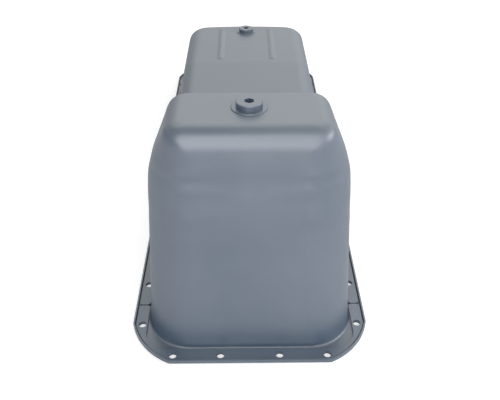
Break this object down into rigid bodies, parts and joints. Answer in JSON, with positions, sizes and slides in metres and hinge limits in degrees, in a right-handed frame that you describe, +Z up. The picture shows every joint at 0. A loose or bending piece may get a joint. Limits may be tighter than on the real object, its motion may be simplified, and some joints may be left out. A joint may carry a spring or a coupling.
{
  "type": "engine oil pan",
  "caption": "Pressed steel double-sump engine oil pan with a flanged, bolted rim, stiffening strips and a drain plug in each sump.",
  "frame": {"origin": "centre of the gasket face, on the plane the pan stands on", "axes": "+Z up from the gasket face to the sump floors, -Y towards the deep sump, +Y towards the shallow sump, X across"},
  "size_m": [0.3, 0.856, 0.3026],
  "materials": {
    "painted_sheet": "satin blue-black enamel on pressed steel",
    "painted_strip": "satin blue-black enamel on flat steel bar",
    "painted_boss": "satin blue-black enamel on turned steel",
    "painted_plug": "satin blue-black enamel on turned steel",
    "washer": "soft metal ring painted over with the pan"
  },
  "bodies": {
    "root": {"pan_shell": "painted_sheet", "front_flange_strip": "painted_strip", "rear_flange_strip": "painted_strip", "left_flange_strip": "painted_strip", "right_flange_strip": "painted_strip", "front_drain_boss": "painted_boss", "rear_drain_boss": "painted_boss", "front_drain_plug": "painted_plug", "rear_drain_plug": "painted_plug", "front_plug_washer": "washer", "rear_plug_washer": "washer"}
  },
  "joints": []
}
